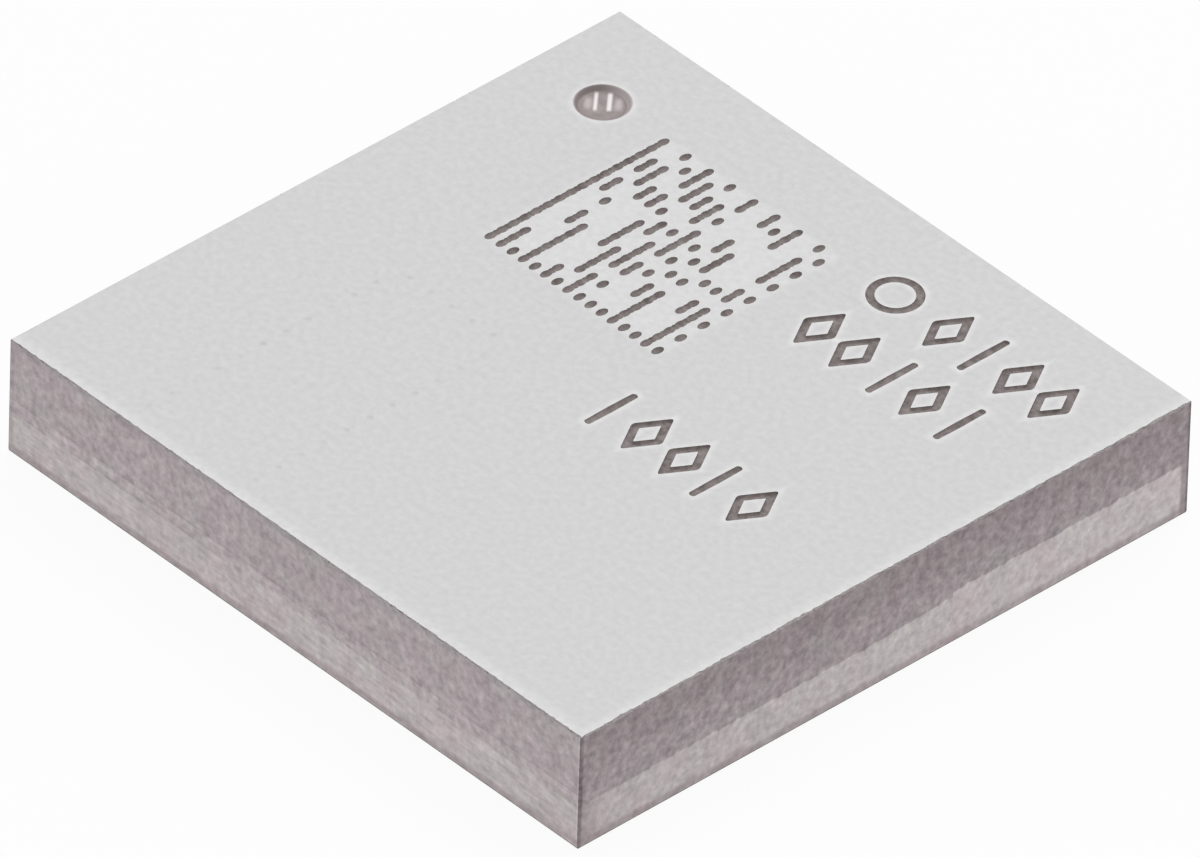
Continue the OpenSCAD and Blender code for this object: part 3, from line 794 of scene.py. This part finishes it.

# Recess: the same metal over the stamped mold, with painted light and shade on its wall and two painted
# glints across its floor. The glints' direction is given along X and Y.
glint_x = 0.69
glint_y = -0.72
recess_metal, tree, shader = blank("recess_metal", metallic=1.0)
shader.inputs["Roughness"].default_value = 0.6
spot = millimetres(tree)
off_x = less(tree, spot["X"], recess_centre.x)
off_y = less(tree, spot["Y"], recess_centre.y)
reach = calc(tree, "SQRT", plus(tree, times(tree, off_y, off_y), off_x, off_x))
along = plus(tree, times(tree, off_y, glint_y), off_x, glint_x)
across = plus(tree, times(tree, off_y, glint_x), off_x, -glint_y)
color = patchy(tree, 0.08, Dark=srgb(143, 136, 133), Light=srgb(171, 163, 162))["Color"]
floor_border = ramp(tree, reach, 0.09, 0.145)
color = mix(tree, floor_border, color, srgb(150, 142, 141))
on_wall = ramp(tree, reach, 0.140, 0.155)
# Painted light and shade on the wall: lighter towards one side and darkest on the far side.
wall = mix(tree, ramp(tree, across, -0.17, 0.17), srgb(168, 158, 157), srgb(208, 200, 199))
shaded_far_wall = mix(tree, ramp(tree, across, -0.05, 0.14), srgb(142, 134, 133), srgb(190, 182, 181))
wall = mix(tree, ramp(tree, along, 0.02, -0.16), wall, shaded_far_wall)
color = mix(tree, on_wall, color, wall)
aside = calc(tree, "ABSOLUTE", across)
flank = times(tree, ramp(tree, aside, 0.055, 0.092), ramp(tree, aside, 0.132, 0.096))
flank = times(tree, flank, ramp(tree, gap(tree, along, -0.025), 0.085, 0.02))
color = mix(tree, flank, color, srgb(188, 180, 180))
# Two painted glints across the floor
painted_glint = 0.0
for line, half_width in ((-0.047, 0.010), (0.038, 0.013)):
    edge_mask = ramp(tree, gap(tree, across, line), half_width + 0.010, half_width - 0.008)
    painted_glint = calc(tree, "MAXIMUM", edge_mask, painted_glint)
painted_glint = times(tree, painted_glint, ramp(tree, gap(tree, along, -0.045), 0.105, 0.07))
color = mix(tree, painted_glint, color, srgb(226, 222, 222))
tree.links.new(color, shader.inputs["Base Color"])

# The recess is cut with a cone whose floor edge is rounded. The coat rounds its rim over in three short
# steps, and the tool then goes on past the top.
rim = 0.175
run = 0.025
depth = 0.03
past_top = 0.02
slope = run / depth
lip = 0.005
lip_steps = ((0.0028, 0.0032), (0.0016, 0.0040), (0.0006, 0.0050))
floor_round = 0.012
radius = rim - slope * lip
well = {"vertices": 72, "depth": depth - lip, "radius1": rim - run, "radius2": radius}
recess = start("cone", location=recess_centre - Vector((0, 0, (depth + lip) / 2)), **well)
recess.data.materials.append(recess_metal)
pick(recess, "FACE", lambda ends: min(end.z for end in ends) > top - lip - hair)
for rise, spread in (*lip_steps, (past_top, 0.0)):
    wider = (radius + spread) / radius
    radius += spread
    bpy.ops.mesh.extrude_region_move(TRANSFORM_OT_translate={"value": (0, 0, rise)})
    bpy.ops.transform.resize(value=(wider, wider, 1), center_override=recess_centre)
pick(recess, "EDGE", lambda ends: max(end.z for end in ends) < top - depth + hair)
bpy.ops.mesh.bevel(offset=floor_round, segments=4, affect="EDGES")
bpy.ops.object.mode_set(mode="OBJECT")

# The core is the coat's inside: the outline of the cap and the board, with a wider recess in its top.
lining = 0.0015
below = 0.05
cap_low, cap_high = [mm_per_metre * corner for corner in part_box("mold_cap")]
well = {"vertices": 72, "depth": depth + past_top}
well.update(radius1=rim - run + lining, radius2=rim + slope * past_top + lining)
boss_middle = Vector((recess_centre.x, recess_centre.y, cap_high.z + (past_top - depth) / 2))
boss = start("cone", location=boss_middle, **well)
core_low = Vector((cap_low.x, cap_low.y, coat_low.z - below))
core = start("cube", size=1, location=(core_low + cap_high) / 2, scale=cap_high - core_low)
cut(core, boss)

edge_bevel = 0.006
steep = 0.8
coat = start("cube", size=1, location=(coat_low + coat_high) / 2, scale=coat_high - coat_low)
coat.name = "sputtered_coat"
coat.data.materials.append(top_metal)
pick(coat, "EDGE", lambda ends: max(end.z for end in ends) > top - hair)
bpy.ops.mesh.bevel(offset=edge_bevel, segments=1, affect="EDGES")
bpy.ops.object.mode_set(mode="OBJECT")
for tool in (recess, core, marks, runs, nicks, *ragged):
    cut(coat, tool)
    bpy.data.objects.remove(tool)
for tool in (boss, ring, bar, diamond):
    bpy.data.objects.remove(tool)
coat.data.materials.append(side_metal)
for face in coat.data.polygons:
    if face.material_index == 0 and abs(face.normal.z) < steep:
        face.material_index = len(coat.data.materials) - 1
shaded(coat)
scaled(coat, 1 / mm_per_metre)
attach(coat, "root")
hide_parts("shield_coat")


# Studio: a white floor, an even pale sky and one soft lamp from behind, above the far edge.
# The floor shows white to the camera and in reflections, and keeps a little of the shadow.

just_below = -1e-6
floor = start("plane", size=0.6, location=(0, 0, just_below))
floor.name = "floor"
white = (1.0, 1.0, 1.0, 1.0)
shown_white = 0.92  # the rest of what the camera sees of the floor is paper, which keeps the shadow
paper, tree, shader = blank("white_paper")
shader.inputs["Base Color"].default_value = (0.9, 0.9, 0.9, 1.0)
shader.inputs["Roughness"].default_value = 0.9
shader.inputs["Specular IOR Level"].default_value = 0.0
ray = add(tree, "ShaderNodeLightPath").outputs
seen = calc(tree, "MAXIMUM", ray["Is Camera Ray"], ray["Is Glossy Ray"])
seen = calc(tree, "MAXIMUM", seen, ray["Is Transmission Ray"])
seen = times(tree, seen, shown_white)
glow = add(tree, "ShaderNodeEmission", {"Color": white, "Strength": 1.0}).outputs[0]
shown = add(tree, "ShaderNodeMixShader", {0: seen, 1: shader.outputs[0], 2: glow}).outputs[0]
# From beneath, the floor is clear, so the underside can be looked at.
beneath = add(tree, "ShaderNodeNewGeometry").outputs["Backfacing"]
clear = add(tree, "ShaderNodeBsdfTransparent").outputs[0]
shown = add(tree, "ShaderNodeMixShader", {0: beneath, 1: shown, 2: clear}).outputs[0]
tree.links.new(shown, tree.nodes["Material Output"].inputs["Surface"])
paper.cycles.emission_sampling = "NONE"
floor.data.materials.append(paper)

scene = bpy.context.scene
scene.view_settings.view_transform = "Standard"
scene.world = bpy.data.worlds.new("pale_sky")
scene.world.use_nodes = True
sky = scene.world.node_tree.nodes["Background"]
sky.inputs["Color"].default_value = white
sky.inputs["Strength"].default_value = 0.75

lamp = bpy.data.objects.new("soft_lamp", bpy.data.lights.new("soft_lamp", "SUN"))
lamp.data.energy = 0.75
lamp.data.angle = 0.7
lamp.rotation_mode = "QUATERNION"
lamp_from = Vector((-0.28, 0.57, 0.77))
lamp.rotation_quaternion = lamp_from.to_track_quat("Z", "Y")
bpy.context.collection.objects.link(lamp)

# The camera stands far off with a long lens, so that parallel edges stay nearly parallel.
azimuth = math.radians(46.2900)
elevation = math.radians(38.0545)
roll = math.radians(1.8590)
distance = 0.231728
aside_right = 0.0000165
aside_up = 0.0003164
flat = math.cos(elevation)
back = Vector((math.sin(azimuth) * flat, -math.cos(azimuth) * flat, math.sin(elevation)))
level = Vector((math.cos(azimuth), math.sin(azimuth), 0.0))
rise = back.cross(level)
right = math.cos(roll) * level + math.sin(roll) * rise
up = math.cos(roll) * rise - math.sin(roll) * level
camera = bpy.data.objects.new("camera", bpy.data.cameras.new("camera"))
camera.data.sensor_width = 36
camera.data.lens = 1150
camera.data.clip_start = 0.01
camera.data.clip_end = 2.0
stand = Matrix.Translation(distance * back + aside_right * right + aside_up * up)
camera.matrix_world = stand @ Matrix((right, up, back)).transposed().to_4x4()
bpy.context.collection.objects.link(camera)
scene.camera = camera
